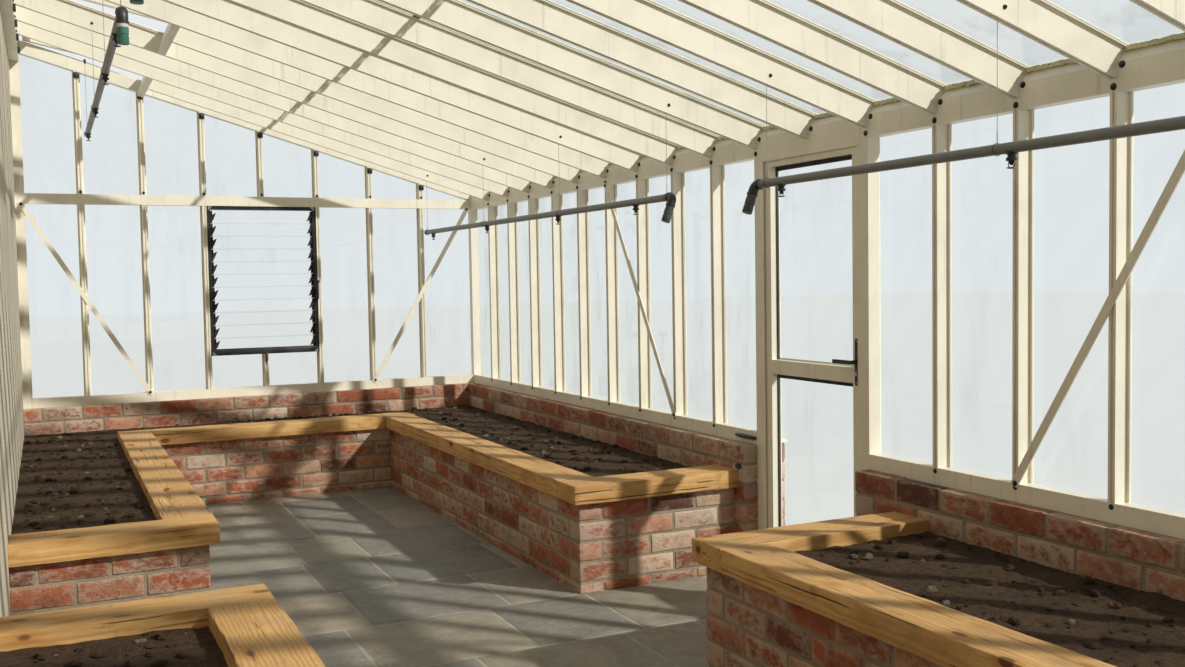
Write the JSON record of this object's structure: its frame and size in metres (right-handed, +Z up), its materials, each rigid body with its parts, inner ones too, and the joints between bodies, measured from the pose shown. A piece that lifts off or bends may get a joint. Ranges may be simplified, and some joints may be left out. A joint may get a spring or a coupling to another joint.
{
  "type": "lean-to glass greenhouse",
  "caption": "Lean-to glasshouse on brick dwarf walls, with raised beds, roof vents, louvre windows, spray lines and an opening glazed door.",
  "frame": {"origin": "on the ground at the middle of the outline in plan", "axes": "+X from the rear wall to the low glazed front, +Y along the building to the far gable, +Z up"},
  "size_m": [3.461, 8.7, 3.2204],
  "materials": {
    "slate": "honed dark grey flags",
    "render": "painted render",
    "brick": "reclaimed red brick with pale mortar",
    "timber": "sawn softwood, oiled",
    "soil": "loose dark earth",
    "frame_paint": "cream powder coat, satin",
    "black_paint": "black powder coat, satin",
    "clear_glass": "clear horticultural glass",
    "seal_foam": "weathered foam strip",
    "joint_strip": "grey strip with dirt",
    "flashing": "dull sheet",
    "gasket": "black glazing gasket",
    "grey_pipe": "grey pipe",
    "black_plastic": "moulded black",
    "steel": "thin wire and pins"
  },
  "bodies": {
    "greenhouse": {"floor_slab": "slate", "rear_wall": "render", "gable_walls": "brick", "front_walls": "brick", "side_bed_walls": "brick", "end_bed_walls": "brick", "bed_copings": "timber", "side_bed_soil": "soil", "end_bed_soil": "soil", "front_sills": "frame_paint", "gable_sills": "frame_paint", "corner_posts": "frame_paint", "front_mullions": "frame_paint", "gable_mullions": "frame_paint", "gable_transoms": "frame_paint", "eave_beam": "frame_paint", "eave_seal": "seal_foam", "eave_gutter": "frame_paint", "rafters": "frame_paint", "gable_rafters": "frame_paint", "wall_plate": "frame_paint", "vent_trimmers": "frame_paint", "vent_sashes": "frame_paint", "vent_glass": "clear_glass", "vent_stays": "steel", "front_glass": "clear_glass", "gable_glass": "clear_glass", "roof_glass_lower": "clear_glass", "roof_glass_upper": "clear_glass", "pane_joints": "joint_strip", "ridge_flashing": "flashing", "wall_braces": "frame_paint", "louvre_frames": "black_paint", "louvre_blades": "clear_glass", "door_frame": "frame_paint", "door_hinges_fixed": "frame_paint", "door_catch": "black_paint", "irrigation_pipes": "grey_pipe", "spray_nozzles": "black_plastic", "pipe_hangers": "steel"},
    "door": {"door_leaf": "frame_paint", "door_glass": "clear_glass", "door_gasket": "gasket", "door_hinges_moving": "frame_paint", "door_handle": "black_paint"}
  },
  "joints": [
    {"name": "door_hinge", "type": "hinge", "parent": "greenhouse", "child": "door", "pos_m": [1.6235, 0.3395, 1], "axis": [0, 0, 1], "range_deg": [0, 95]}
  ]
}
